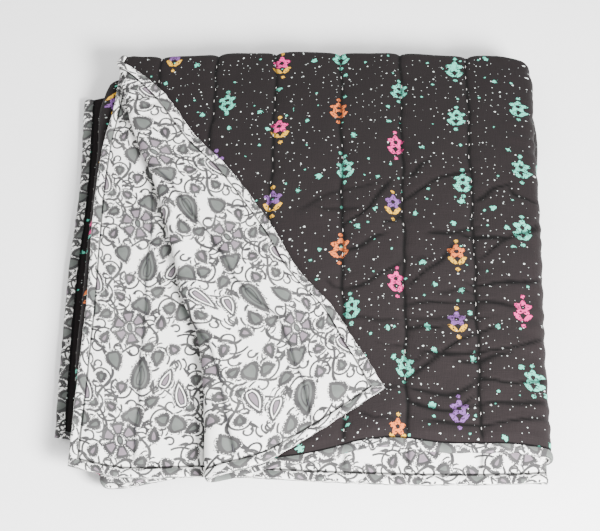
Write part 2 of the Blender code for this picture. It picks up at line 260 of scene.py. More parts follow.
# x, y, radius, middle of the arc as an angle from +x, half its angle, half width
VINES = [
    (-5, -84, 13.5, 275, 140, 0.9),
    (-41, -108, 13.0, 40, 135, 0.85),
    (41, -42, 15.0, 100, 130, 0.85),
    (50, -125, 14.0, 200, 130, 0.9),
    (-34, -19, 14.0, 160, 120, 0.85),
    (-33, -74, 12.5, 30, 120, 0.8),
    (-50, -36, 26.0, 60, 52, 0.9),
    (2, -108, 24.0, 300, 50, 0.9),
    (58, -92, 27.0, 330, 40, 0.8),
    (24, 42, 22.0, 250, 60, 0.8),
    (-20, 40, 17.0, 300, 80, 0.8),
]
# along the cloth (1) or across it (0), place, swing, length and phase of its waves, half width
WAVES = [
    (1, -27, 9, 76.5, 0.6, 1.15),
    (1, 27, 11, 76.5, 2.9, 1.15),
    (0, -33, 9, 62.0, 0.4, 1.1),
    (0, 39, 8, 62.0, 3.6, 0.9),
    (0, 66, 6, 41.333, 1.2, 0.8),
]
# x, y, turn, count, radius
COMBS = [
    (-10, -29, 60, 3, 8.0),
    (44, -84, -35, 4, 9.0),
    (-20, -96, 95, 3, 8.0),
    (-32, 36, -25, 4, 9.0),
    (22, 46, 55, 3, 8.5),
    (-54, -52, 15, 3, 9.0),
    (-52, -94, -60, 3, 8.0),
    (34, -20, 140, 3, 7.0),
    (58, 14, 10, 3, 9.0),
    (30, -136, 75, 3, 8.5),
    (-30, -140, -40, 4, 9.0),
]

# Cell in which each blossom of the dark print stands
BLOSSOM_CELL = (76.0, 112.0)


def smooth(table, at):
    """A smooth curve through the rows (place, value) of a table, level past its ends."""
    places, values = np.array(sorted(table)).T
    slopes = np.gradient(values, places)
    at = np.clip(at, places[0], places[-1])
    i = np.clip(np.searchsorted(places, at) - 1, 0, len(places) - 2)
    step = places[i + 1] - places[i]
    t = (at - places[i]) / step
    start = (1 + 2 * t) * (1 - t) ** 2 * values[i] + t * (1 - t) ** 2 * step * slopes[i]
    end = t**2 * (3 - 2 * t) * values[i + 1] + t**2 * (t - 1) * step * slopes[i + 1]
    return start + end


def ramp(value, low, high):
    """0 below low, 1 above high, and a soft step between them."""
    t = np.clip((value - low) / (high - low), 0, 1)
    return t * t * (3 - 2 * t)


def top_panel_x(u, y, upper):
    """x on the top panel, whose seams fan out a little towards the near edge."""
    down = np.clip((SEAMS_FAR_Y - y) / (SEAMS_FAR_Y - SEAMS_NEAR_Y), 0, 1)
    lines = [np.where(upper, smooth(TOP_EDGE_UPPER, y), smooth(TOP_EDGE_LOWER, y))]
    for far, near_upper, near_lower in TOP_SEAMS:
        wander = 1.1 * np.sin(y / 19 + far) + 0.7 * np.sin(y / 7.7 + near_upper)
        lines.append(far + (np.where(upper, near_upper, near_lower) - far) * down + wander)
    lines.append(smooth(SIDE_FOLDS[0], y))
    places = [CHANNEL * i for i in range(CHANNELS_PER_PANEL)] + [PANEL_WIDTH - HALF_TURN]
    x = np.zeros_like(u)
    for i in range(len(places) - 1):
        t = (u - places[i]) / (places[i + 1] - places[i])
        x = np.where((t >= 0) & (t <= 1), lines[i] + (lines[i + 1] - lines[i]) * t, x)
    return x


def folded(u, v, w):
    """Where points of the flat cloth lie in the folded block, before its corner is turned back."""
    upper = v >= 0
    turned = np.clip(v / HAIRPIN_RADIUS, -math.pi / 2, math.pi / 2)
    n = (HAIRPIN_RADIUS + w) * np.sin(turned)
    q = HAIRPIN_RADIUS - (HAIRPIN_RADIUS + w) * np.cos(turned)
    run = np.maximum(np.abs(v) - HALF_HAIRPIN, 0)
    far = smooth(FAR_FOLD, u / PANEL_WIDTH)
    near_upper = smooth(NEAR_EDGE_UPPER, u / PANEL_WIDTH)
    near_lower = smooth(NEAR_EDGE_LOWER, u / PANEL_WIDTH)
    near = np.where(upper, near_upper, near_lower)
    y = far - q - run * (far - HAIRPIN_RADIUS - near) / (HALF_LENGTH - HALF_HAIRPIN)
    panel = np.clip((u // PANEL_WIDTH).astype(int), 0, PANELS - 1)
    across = u - panel * PANEL_WIDTH
    start = np.where(panel == 0, 0.0, HALF_TURN)
    end = np.where(panel == PANELS - 1, PANEL_WIDTH, PANEL_WIDTH - HALF_TURN)
    part = np.clip((across - start) / (end - start), 0, 1)
    leaving = across > end
    angle = np.where(leaving, (across - end) / HALF_TURN, 1 + across / HALF_TURN) * math.pi / 2
    fold = np.where(leaving, panel, panel - 1)
    side = np.where(fold % 2 == 0, 1.0, -1.0)
    up = np.where(panel % 2 == 0, 1.0, -1.0)
    folds = [smooth(table, y) for table in SIDE_FOLDS]
    centre = np.choose(np.clip(fold, 0, PANELS - 2), folds)
    level = np.interp(fold + 0.5, np.arange(PANELS), PANEL_HEIGHTS)
    fold_x = centre + (side * TURN_RADIUS + n) * np.sin(angle)
    fold_z = level + (side * TURN_RADIUS + n) * side * np.cos(angle)
    starts = [folds[0], folds[0], folds[1], folds[2]]
    ends = [folds[0], folds[1], folds[2], smooth(BOTTOM_EDGE, y)]
    straight_x = np.choose(panel, starts) * (1 - part) + np.choose(panel, ends) * part
    straight_x = np.where(panel == 0, top_panel_x(np.minimum(across, end), y, upper), straight_x)
    straight_z = PANEL_HEIGHTS[panel] + up * n
    turning = leaving | (across < start)
    return np.where(turning, fold_x, straight_x), y, np.where(turning, fold_z, straight_z)


def roll_frame():
    """The roll line's start, its unit direction, the unit direction towards the rolled side, its length."""
    start = np.array(ROLL_FAR)
    run = np.array(ROLL_NEAR) - start
    length = float(np.hypot(*run))
    along = run / length
    return start, along, np.array([along[1], -along[0]]), length


def roll_sizes(place):
    """The roll's height from its middle, its flatness, its mean radius and its bow at a place along it."""
    at = place / roll_frame()[3]
    radius, flatness = smooth(ROLL_RADIUS, at), smooth(ROLL_FLATNESS, at)
    return radius, flatness, radius * (1 + flatness) / 2, smooth(ROLL_BOW, at)


def to_roll(x, y):
    """Place along the roll line, and the distance past it counted in the roll's mean radii."""
    start, along, aside, length = roll_frame()
    place = (x - start[0]) * along[0] + (y - start[1]) * along[1]
    radius, flatness, mean, bow = roll_sizes(place)
    return place, ((x - start[0]) * aside[0] + (y - start[1]) * aside[1] - bow) / mean


def from_roll(place, radii, w):
    """Where a point of the top layer lies once its corner is rolled back."""
    start, along, aside, length = roll_frame()
    radius, flatness, mean, bow = roll_sizes(place)
    turn = np.clip(radii, 0, math.pi)
    down = np.clip((radii - math.pi) / ROLL_DESCENT, 0, 1)
    out = mean * (np.minimum(radii, 0) - np.maximum(radii - math.pi, 0)) + flatness * radius * np.sin(turn)
    rise = radius * (1 - np.cos(turn)) - (2 * radius - LAYER_PITCH) * down**2 * (3 - 2 * down)
    norm = np.hypot(np.sin(turn), flatness * np.cos(turn))
    out = out - w * np.sin(turn) / norm + bow
    rise = rise + w * flatness * np.cos(turn) / norm
    x = start[0] + place * along[0] + out * aside[0]
    y = start[1] + place * along[1] + out * aside[1]
    return x, y, TOP_LAYER + rise


def is_top_layer(u, v):
    """Whether points of the cloth belong to the layer whose corner is turned back."""
    return (u < PANEL_WIDTH - HALF_TURN) & (v > HALF_HAIRPIN)


def on_block(u, v, w):
    """Where points of the cloth lie on the finished block, in metres."""
    x, y, z = folded(u, v, w)
    rolled_x, rolled_y, rolled_z = from_roll(*to_roll(x, y), w)
    top = is_top_layer(u, v)
    x, y, z = np.where(top, rolled_x, x), np.where(top, rolled_y, y), np.where(top, rolled_z, z)
    swell = 1 + SWELL * np.sin(x / SWELL_LENGTH_X + 0.6) * np.cos(y / SWELL_LENGTH_Y)
    return np.stack([x - BLOCK_CENTRE_X, y - BLOCK_CENTRE_Y, z * swell], axis=1) * MM


def columns():
    """The mesh's lines across the cloth: fine in the top panel, coarser in the hidden ones."""
    places = []
    for channel in range(PANELS * CHANNELS_PER_PANEL):
        offsets = FINE_CHANNEL if channel < CHANNELS_PER_PANEL else COARSE_CHANNEL
        places += [channel * CHANNEL + offset for offset in offsets]
    places.append(CLOTH_WIDTH)
    for fold in range(1, PANELS):
        middle = fold * PANEL_WIDTH
        places = [place for place in places if abs(place - middle) > HALF_TURN + 2]
        places += [middle + HALF_TURN * (2 * i / TURN_SEGMENTS - 1) for i in range(TURN_SEGMENTS + 1)]
    return np.array(sorted(places))


def rows():
    """The mesh's lines along the cloth: fine on the far fold, even on both halves."""
    run = HALF_LENGTH - HALF_HAIRPIN
    upper = np.linspace(HALF_HAIRPIN, HALF_LENGTH, round(run / UPPER_ROW) + 1)
    lower = np.linspace(-HALF_LENGTH, -HALF_HAIRPIN, round(run / LOWER_ROW) + 1)
    hairpin = np.linspace(-HALF_HAIRPIN, HALF_HAIRPIN, HAIRPIN_SEGMENTS + 1)
    return np.unique(np.concatenate([lower, hairpin, upper]).round(4))


def from_seam(u):
    """The distance from the nearest quilted seam."""
    return np.abs((u / CHANNEL + 0.5) % 1 - 0.5) * CHANNEL


def crest(u):
    """The quilting's height across the channels: 0 at a seam, 1 in the middle of a channel."""
    arch = np.abs(np.sin(math.pi * u / CHANNEL)) ** 0.6
    return 0.45 * arch + 0.55 * (1 - np.exp(-from_seam(u) / 5.0))


def seam_gathers(u, v):
    """Small gathers beside each seam, from the pull of its running stitches."""
    seam = np.round(u / CHANNEL)
    away = np.abs(u - seam * CHANNEL)
    wave = np.sin(v / 3.1 + 1.7 * seam) + 0.7 * np.sin(v / 4.7 - 2.3 * seam) + 0.6 * np.sin(v / 9.0 + seam)
    return wave * np.exp(-away / 9.0)


def undulation(u, v):
    """Slow unevenness of the filling."""
    return (
        np.sin(u / 21 + 0.7 * np.sin(v / 37)) * np.sin(v / 29 + 1.1)
        + 0.8 * np.sin(u / 13 + v / 17)
        + 0.6 * np.sin(u / 34 - v / 23 + 2)
    )


def drag_creases(x, y):
    """The drag creases on the top layer: their troughs, and the swelling of the cloth beside them."""
    trough, swelling = np.zeros_like(x), np.zeros_like(x)
    for x0, y0, x1, y1, bow, depth, half_width in CREASES:
        length = math.hypot(x1 - x0, y1 - y0)
        along = ((x - x0) * (x1 - x0) + (y - y0) * (y1 - y0)) / length**2
        aside = ((x1 - x0) * (y - y0) - (y1 - y0) * (x - x0)) / length
        inside = np.clip(along, 0, 1)
        aside = aside - 4 * bow * inside * (1 - inside) - 1.5 * np.sin(along * 9 + x0)
        taper = ramp(along, -0.12, 0.15) * (1 - ramp(along, 0.8, 1.12))
        width = CREASE_WIDTH * half_width * (0.75 + 0.25 * np.sin(along * 5 + y0))
        trough = np.maximum(trough, depth * taper * np.exp(-((aside / width) ** 2)))
        swelling += depth * taper * 0.4 * np.exp(-(((aside - 2.6 * half_width) / (1.9 * half_width)) ** 2))
    return trough, swelling


def from_edge(u, v):
    """The distance in from the cloth's nearest edge."""
    return np.minimum(np.minimum(u, CLOTH_WIDTH - u), HALF_LENGTH - np.abs(v))


def face_shape(u, v, cloth):
    """The dark face's height above the cloth's middle, and how much painted shade its seams and creases get
    there, from 0 to 1.
    """
    x, y, z = folded(u, v, np.zeros_like(u))
    rim = ramp(from_edge(u, v), BINDING_WIDTH, BINDING_WIDTH + 14)
    upper_side = (u < PANEL_WIDTH) & (v > -HALF_HAIRPIN)
    clear_of_flap = ramp(x - smooth(FLAP_EDGE, y), -12, 14) * ramp(u, 40, 80)
    past_turn = 1 - ramp(u, PANEL_WIDTH - HALF_TURN, PANEL_WIDTH)
    shown = upper_side * ramp(v, -HALF_HAIRPIN, 0) * clear_of_flap * past_turn
    trough, swelling = drag_creases(x, y)
    height = BETWEEN_PANELS / 2 + 0.8 + (cloth.crest - 1.0) * crest(u) * rim
    height += shown * rim * cloth.puff * crest(u)
    height += shown * rim * (0.6 * swelling - 1.2 * trough + 0.7 * undulation(u, v))
    height += rim * (0.12 + 0.65 * shown) * seam_gathers(u, v)
    height += rim * upper_side * (u > PANEL_WIDTH - 40) * 0.8 * np.sin(v / 5.3 + 1.5 * np.sin(v / 23))
    # painted shade: the seams and the troughs of the drag creases are darkened in colour, on top of their
    # shape
    seam = np.exp(-((from_seam(u) / FACE_SEAM_SHADE) ** 2))
    painted_shade = shown * np.clip(trough / 1.5, 0, 1) + seam * (0.35 + 0.65 * shown) * rim
    return np.maximum(height, BETWEEN_PANELS / 2 + 0.4), np.clip(painted_shade, 0, 1)


def backing_shape(u, v, cloth):
    """The floral backing's depth below the cloth's middle, and how much painted shade its seams and pleats
    get. It lies smoother.
    """
    rim = ramp(from_edge(u, v), BINDING_WIDTH, BINDING_WIDTH + 14)
    height = BETWEEN_PANELS / 2 + 1.1 + (cloth.crest - 1.4) * (0.15 + 0.85 * crest(u)) * rim
    height += rim * (0.2 * seam_gathers(u, v) + 0.2 * undulation(u, v))
    beyond = 1 - ramp(np.abs(v), 100, 150)
    pleats = np.exp(-(((u - PLEATS_AT) / PLEATS_WIDTH) ** 2)) * ramp(np.abs(v), 30, 48) * beyond
    wave = np.sin(v / 3.1 + 1.2 * np.sin(v / 17) + u / 14)
    height += PLEATS_HEIGHT * rim * pleats * wave
    # painted shade: darker along the seams and in the troughs of the pleats
    seam = np.exp(-((from_seam(u) / BACKING_SEAM_SHADE) ** 2))
    painted_shade = 0.8 * seam * rim + 0.55 * pleats * np.clip(-wave, 0, 1)
    return -np.maximum(height, BETWEEN_PANELS / 2 + 0.4), np.clip(painted_shade, 0, 1)


def finished_piece(name, mesh, flat, position, material, node=None, painted_shade=None):
    """An object from a mesh: its cloth coordinates go to a UV map, and its points go to their places."""
    uv = mesh.uv_layers.new(name="cloth")
    corners = np.zeros(len(mesh.loops), dtype=np.int32)
    mesh.loops.foreach_get("vertex_index", corners)
    uv.data.foreach_set("uv", (flat[corners, :2] * MM).astype(np.float32).ravel())
    # the painted shade of seams, creases and pleats goes to a point attribute that the material reads
    if painted_shade is not None:
        mesh.attributes.new("painted_shade", "FLOAT", "POINT").data.foreach_set("value", painted_shade.astype(np.float32))
    mesh.vertices.foreach_set("co", position.astype(np.float32).ravel())
    mesh.update()
    mesh.shade_smooth()
    mesh.materials.append(material)
    piece = bpy.data.objects.new(name, mesh)
    bpy.context.scene.collection.objects.link(piece)
    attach(piece, "root")
    if node:
        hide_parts(node)
    return piece


def laid_grid(name, across, along):
    """A grid mesh with lines at the given places, and those places for each of its points."""
    bm = bmesh.new()
    bmesh.ops.create_grid(bm, x_segments=len(across) - 1, y_segments=len(along) - 1, size=1)
    unit = np.array([vert.co for vert in bm.verts])
    i = np.rint((unit[:, 0] + 1) / 2 * (len(across) - 1)).astype(int)
    j = np.rint((unit[:, 1] + 1) / 2 * (len(along) - 1)).astype(int)
    mesh = bpy.data.meshes.new(name)
    bm.to_mesh(mesh)
    bm.free()
    return mesh, i, j


def panel_lines():
    """The mesh's lines for the face or the backing, which end under the binding."""
    across, along = columns(), rows()
    across = across[(across > 3) & (across < CLOTH_WIDTH - 3)]
    along = along[np.abs(along) < HALF_LENGTH - 3]
    across = np.concatenate([[PANEL_EDGE_INSET], across, [CLOTH_WIDTH - PANEL_EDGE_INSET]])
    end = HALF_LENGTH - PANEL_EDGE_INSET
    return across, np.concatenate([[-end], along, [end]])


def panel_piece(name, shape, cloth, material, node, upwards):
    """The face or the backing: a thin sheet on the outside of its solid's folds."""
    across, along = panel_lines()
    mesh, i, j = laid_grid(name, across, along)
    if not upwards:
        mesh.flip_normals()
    u, v = across[i], along[j]
    w, painted_shade = shape(u, v, cloth)
    shift = FAR_FOLD_SHIFT * ramp(v, 0, FAR_FOLD_REACH)
    flat = np.stack([u, v + shift], axis=1)
    return finished_piece(name, mesh, flat, on_block(u, v, w), material, node, painted_shade)


def binding_section(cloth):
    """The binding's folded strip, seen from its end: distance in from the edge, height."""
    puff = cloth.binding_puff
    half = [(BINDING_WIDTH, 1.15), (12.0, 1.5), (9.5, 0.85 * puff), (6.5, puff), (3.5, 0.96 * puff)]
    half += [(1.3, 0.72 * puff)]
    return half + [(0.2, 0.0)] + [(inset, -height) for inset, height in reversed(half)]


def binding_piece(cloth, material):
    """The binding: its section carried round the cloth's edge, uneven along its length."""
    across, along = columns()[1:-1], rows()[1:-1]
    across = across[(across > BINDING_WIDTH + 1) & (across < CLOTH_WIDTH - BINDING_WIDTH - 1)]
    along = along[np.abs(along) < HALF_LENGTH - BINDING_WIDTH - 1]
    section = binding_section(cloth)
    # each station: u and v of the edge there, and the way in from it
    corner = HALF_LENGTH
    stations = [(0.0, corner, 1, -1)] + [(u, corner, 0, -1) for u in across]
    stations += [(CLOTH_WIDTH, corner, -1, -1)] + [(CLOTH_WIDTH, v, -1, 0) for v in along[::-1]]
    stations += [(CLOTH_WIDTH, -corner, -1, 1)] + [(u, -corner, 0, 1) for u in across[::-1]]
    stations += [(0.0, -corner, 1, 1)] + [(0.0, v, 1, 0) for v in along]
    stations = np.array(stations + stations[:1], dtype=float)
    edge = np.concatenate([[0], np.cumsum(np.hypot(*np.diff(stations[:, :2], axis=0).T))])
    mesh, i, j = laid_grid("binding_cloth", np.arange(len(stations)), np.arange(len(section)))
    inset, height = np.array(section).T
    s, around = edge[i], inset[j]
    wrinkle = np.sin(s / 2.9 + around / 4) + 0.8 * np.sin(s / 4.3 + 2 * np.sin(s / 31))
    wrinkle = wrinkle + 0.7 * np.sin(s / 7.7)
    w = height[j] * (1 + 0.08 * wrinkle + 0.08 * np.sin(s / 19))
    inwards = around + (0.35 * wrinkle + 0.7 + 0.6 * np.sin(s / 41)) * (1 - around / BINDING_WIDTH)
    inwards = np.clip(inwards, 0.1, BINDING_WIDTH + 0.6)
    inwards = np.where((i == 0) | (i == len(stations) - 1), around, inwards)
    u = stations[i, 0] + stations[i, 2] * inwards
    v = stations[i, 1] + stations[i, 3] * inwards
    flat = np.stack([s + 40, 57 + np.where(height[j] < 0, 30 - around, around)], axis=1)
    bm = bmesh.new()
    place = on_block(u, v, w)
    piece = finished_piece("binding_cloth", mesh, flat, place, material, "binding")
    bm.from_mesh(piece.data)
    bmesh.ops.remove_doubles(bm, verts=bm.verts[:], dist=0.00001)
    bmesh.ops.recalc_face_normals(bm, faces=bm.faces[:])
    bm.to_mesh(piece.data)
    bm.free()
    return piece


def repeat(bm, copies):
    """Repeats what is in a bmesh, one copy after another."""
    size = len(bm.verts)
    block = bpy.data.meshes.new("copies")
    bm.to_mesh(block)
    bm.clear()
    bm.from_mesh(block)
    while len(bm.verts) < size * copies:
        bm.to_mesh(block)
        bm.from_mesh(block)
    bm.verts.ensure_lookup_table()
    bmesh.ops.delete(bm, geom=bm.verts[size * copies :], context="VERTS")
    bpy.data.meshes.remove(block)


def stitch_piece(name, height, length, gap, thickness, start, material):
    """Running stitches along every quilted seam, laid on the face (height > 0) or on the backing."""
    first = int((-HALF_LENGTH + BINDING_WIDTH) / (length + gap)) + 1
    last = int((HALF_LENGTH - BINDING_WIDTH) / (length + gap)) - 1
    seams, counts = np.meshgrid(np.arange(1, PANELS * CHANNELS_PER_PANEL), np.arange(first, last + 1))
    seam, count = seams.reshape(-1, 1), counts.reshape(-1, 1)
    bm = bmesh.new()
    bmesh.ops.create_uvsphere(bm, u_segments=6, v_segments=5, radius=0.5)
    across, up, along = np.array([vert.co for vert in bm.verts]).T
    repeat(bm, len(seam))
    u = seam * CHANNEL + 0.25 * np.sin(7.1 * count + 1.3 * seam) + across * thickness
    v = count * (length + gap) + start + 3.0 * np.sin(2.1 * seam) + 1.2 * np.sin(5.3 * count + seam)
    v = v + along * length * (1 + 0.35 * np.sin(3.7 * count + 2.0 * seam))
    w = height + math.copysign(0.35, height) * (1 - (2 * along) ** 2) + up * thickness * 0.7
    flat = np.stack([u.ravel(), v.ravel(), (w + 0 * u).ravel()], axis=1)
    mesh = bpy.data.meshes.new(name)
    bm.to_mesh(mesh)
    bm.free()
    return finished_piece(name, mesh, flat, on_block(*flat.T), material)


class Drawing:
    """Writes a pattern as shader nodes. Each input may be another node's output or a number."""

    def __init__(self, material):
        material.use_nodes = True
        self.tree = material.node_tree
        self.shader = self.tree.nodes["Principled BSDF"]

    def node(self, kind, *inputs, **settings):
        """A new node, with its settings and its inputs in order."""
        node = self.tree.nodes.new(kind)
        for name, value in settings.items():
            setattr(node, name, value)
        for socket, value in zip(node.inputs, inputs):
            self.plug(socket, value)
        return node

    def plug(self, socket, value):
        """Links an output to a socket, or writes a number into it."""
        if isinstance(value, bpy.types.NodeSocket):
            self.tree.links.new(value, socket)
        elif value is not None:
            socket.default_value = value

    def math(self, operation, *inputs, clamp=False):
        return self.node("ShaderNodeMath", *inputs, operation=operation, use_clamp=clamp).outputs[0]

    def plus(self, first, second):
        return self.math("ADD", first, second)

    def minus(self, first, second):
        return self.math("SUBTRACT", first, second)

    def times(self, first, second):
        return self.math("MULTIPLY", first, second)

    def scaled(self, value, factor, offset):
        """The value times a factor, and an offset on top."""
        return self.math("MULTIPLY_ADD", value, factor, offset)

    def size(self, value):
        """The value without its sign."""
        return self.math("ABSOLUTE", value)

    def most(self, first, second):
        return self.math("MAXIMUM", first, second)

    def vector(self, operation, *inputs):
        node = self.node("ShaderNodeVectorMath", *inputs, operation=operation)
        return node.outputs["Value" if operation in ("LENGTH", "DOT_PRODUCT") else "Vector"]

    def split(self, vector):
        """The first two parts of a vector."""
        node = self.node("ShaderNodeSeparateXYZ", vector)
        return node.outputs[0], node.outputs[1]

    def within(self, distance, edge=0.0, softness=0.5):
        """1 where a distance is less than edge, 0 where it is more."""
        return self.math("MULTIPLY_ADD", distance, -1 / softness, edge / softness + 0.5, clamp=True)

    def colour(self, factor, first, second):
        """The first colour where the factor is 0, the second where it is 1."""
        node = self.tree.nodes.new("ShaderNodeMix")
        node.data_type = "RGBA"
        self.plug(node.inputs["Factor"], factor)
        for socket, value in ((node.inputs[6], first), (node.inputs[7], second)):
            self.plug(socket, value if isinstance(value, bpy.types.NodeSocket) else (*value, 1))
        return node.outputs[2]

    def shaded(self, colour, value):
        """The colour with its brightness multiplied."""
        node = self.node("ShaderNodeHueSaturation")
        self.plug(node.inputs["Value"], value)
        self.plug(node.inputs["Color"], colour)
        return node.outputs[0]

    def nearest(self, distances):
        """The least of several distances."""
        least = distances[0]
        for distance in distances[1:]:
            least = self.math("MINIMUM", least, distance)
        return least

    def cloth_place(self):
        """The place on the open cloth in millimetres."""
        uv = self.node("ShaderNodeUVMap", uv_map="cloth").outputs[0]
        return self.vector("MULTIPLY", uv, (1000, 1000, 1000))

    def noise(self, place, size, detail=2.0, stretch=(1, 1, 1)):
        """Soft noise from 0 to 1, with spots of about the given size in millimetres."""
        scaled = self.vector("MULTIPLY", place, tuple(s / size for s in stretch))
        node = self.node("ShaderNodeTexNoise", noise_dimensions="2D")
        self.plug(node.inputs["Vector"], scaled)
        node.inputs["Scale"].default_value = 1
        node.inputs["Detail"].default_value = detail
        return node.outputs["Fac"]

    def around(self, place, x, y, turn):
        """The place seen from the nearest repeat of a motif at (x, y), turned upright."""
        x, y = FLOWER_AT[0] + x, FLOWER_AT[1] + y
        offset = self.vector("SUBTRACT", place, (x, y, 0))
        half = (REPEAT[0] / 2, REPEAT[1] / 2, 1)
        wrapped = self.vector("WRAP", offset, half, tuple(-h for h in half))
        if not turn:
            return wrapped
        node = self.node("ShaderNodeVectorRotate", rotation_type="Z_AXIS")
        self.plug(node.inputs["Vector"], wrapped)
        node.inputs["Angle"].default_value = -math.radians(turn)
        return node.outputs[0]

    def leaf(self, place, x, y, half_width, half_length, turn):
        """The distance from a leaf's outline, with a round base and a pointed tip; less than 0 inside it."""
        across, along = self.split(self.around(place, x, y, turn))
        along = self.math("DIVIDE", along, half_length)
        base = self.math("SQRT", self.most(self.plus(along, 1.0), 0.0))
        width = self.times(base, self.minus(1.0, along))
        width = self.times(width, 0.92 * half_width)
        behind = self.scaled(along, -half_length, -half_length)
        return self.most(self.minus(self.size(across), width), behind)

    def arc(self, place, x, y, radius, middle, half_angle, half_width):
        """The distance from a vine that is part of a circle."""
        local = self.around(place, x, y, middle)
        across, _ = self.split(local)
        reach = self.vector("LENGTH", local)
        off = self.size(self.minus(reach, radius))
        beyond = self.scaled(reach, math.cos(math.radians(half_angle)), -half_width)
        beyond = self.minus(beyond, across)
        return self.most(self.minus(off, half_width), beyond)

    def wave(self, place, upright, offset, swing, length, phase, half_width):
        """The distance from a vine that waves along or across the cloth, and fits the repeat."""
        x, y = self.split(self.around(place, 0, 0, 0))
        across, along = (x, y) if upright else (y, x)
        bend = self.math("SINE", self.scaled(along, math.tau / length, phase))
        off = self.minus(across, self.scaled(bend, swing, offset))
        return self.scaled(self.size(off), 0.8, -half_width)

    def comb(self, place, x, y, turn, count, radius):
        """The distance from a row of hooks that curl the same way, each thicker at one end."""
        across, along = self.split(self.around(place, x, y, turn))
        outside = self.minus(self.size(across), 3.3 * count)
        one = self.math("WRAP", across, 3.3, -3.3)
        one = self.plus(one, radius - 1.0)
        off = self.node("ShaderNodeCombineXYZ", one, along, 0.0).outputs[0]
        off = self.size(self.minus(self.vector("LENGTH", off), radius))
        end = self.most(self.math("DIVIDE", along, 0.8 * radius), 0.0)
        width = self.scaled(self.math("POWER", end, 3.0), 1.1, 0.6)
        beyond = self.minus(self.size(along), 0.8 * radius)
        return self.nearest_inside(self.minus(off, width), beyond, outside)

    def nearest_inside(self, distance, *limits):
        """The distance, kept within limits."""
        for limit in limits:
            distance = self.most(distance, limit)
        return distance

    def edge_seam(self, place, colour, half_width):
        """The colour with painted shade: darker along the groove where a line of small stitches holds the
        binding down.
        """
        u, v = self.split(place)
        inset = self.math("MINIMUM", u, self.minus(CLOTH_WIDTH, u))
        inset = self.math("MINIMUM", inset, self.minus(HALF_LENGTH + FAR_FOLD_SHIFT, v))
        inset = self.math("MINIMUM", inset, self.plus(v, HALF_LENGTH))
        wander = self.scaled(self.noise(place, 14.0, 2.0), 1.6, BINDING_WIDTH + 0.1)
        off = self.size(self.minus(inset, wander))
        line = self.within(off, half_width, 1.0)
        return self.shaded(colour, self.scaled(line, -0.9, 1.0))

    def tendrils(self, place, cells, shift, least, greatest, half_angle):
        """The distance from curled tendrils, one in each cell of a grid that fits the repeat."""
        shifted = self.vector("ADD", place, (*shift, 0))
        x, y = self.split(self.vector("WRAP", shifted, (*REPEAT, 1), (0, 0, 0)))
        width, length = REPEAT[0] / cells[0], REPEAT[1] / cells[1]
        column = self.math("FLOOR", self.math("DIVIDE", x, width))
        row = self.math("FLOOR", self.math("DIVIDE", y, length))
        random = self.node("ShaderNodeTexWhiteNoise", noise_dimensions="2D")
        self.plug(random.inputs["Vector"], self.node("ShaderNodeCombineXYZ", column, row, least).outputs[0])
        first, second = self.split(random.outputs["Color"])
        x = self.minus(x, self.times(self.plus(column, 0.5), width))
        y = self.minus(y, self.times(self.plus(row, 0.5), length))
        x = self.scaled(first, 6.0, self.minus(x, 3.0))
        y = self.scaled(second, 6.0, self.minus(y, 3.0))
        turned = self.node("ShaderNodeVectorRotate", rotation_type="Z_AXIS")
        self.plug(turned.inputs["Vector"], self.node("ShaderNodeCombineXYZ", x, y, 0.0).outputs[0])
        self.plug(turned.inputs["Angle"], self.times(random.outputs["Value"], 40.0))
        x, y = self.split(turned.outputs[0])
        reach = self.vector("LENGTH", turned.outputs[0])
        angle = self.math("ARCTAN2", y, x)
        radius = self.scaled(first, greatest - least, least)
        radius = self.scaled(angle, 0.35 * least / half_angle, radius)
        swell = self.math("POWER", self.most(self.math("DIVIDE", angle, half_angle), 0.0), 3.0)
        half_width = self.scaled(swell, 1.1, 0.75)
        off = self.size(self.minus(reach, radius))
        beyond = self.minus(self.size(angle), half_angle)
        beyond = self.times(beyond, radius)
        return self.most(self.minus(off, half_width), beyond)

    def with_painted_shade(self, colour, depth):
        """The colour with painted shade: darker where the cloth is hollow, as little light reaches a seam or
        a crease.
        """
        painted_shade = self.node("ShaderNodeAttribute", attribute_name="painted_shade").outputs["Fac"]
        return self.shaded(colour, self.scaled(painted_shade, -depth, 1.0))

    def threads(self, place, colour, strength, depth):
        """Uneven yarns in both directions: a change of tone, and a fine bump on the shader."""
        warp = self.noise(place, 1.4, 2.0, (1, 0.06, 1))
        weft = self.noise(place, 1.4, 2.0, (0.06, 1, 1))
        yarns = self.plus(warp, weft)
        tone = self.scaled(yarns, strength, 1 - strength)
        colour = self.shaded(colour, tone)
        bump = self.node("ShaderNodeBump")
        bump.inputs["Strength"].default_value = depth
        bump.inputs["Distance"].default_value = 0.0006
        fine = self.plus(yarns, self.noise(place, 6.0, 3.0))
        self.plug(bump.inputs["Height"], fine)
        self.plug(self.shader.inputs["Normal"], bump.outputs[0])
        self.plug(self.shader.inputs["Base Color"], colour)


def cotton(name):
    """A matt cotton, and the drawing that writes its pattern."""
    material = bpy.data.materials.new(name)
    drawing = Drawing(material)
    drawing.shader.inputs["Roughness"].default_value = 0.92
    drawing.shader.inputs["Specular IOR Level"].default_value = 0.15
    drawing.shader.inputs["Sheen Weight"].default_value = 0.03
    drawing.shader.inputs["Sheen Roughness"].default_value = 0.5
    return material, drawing


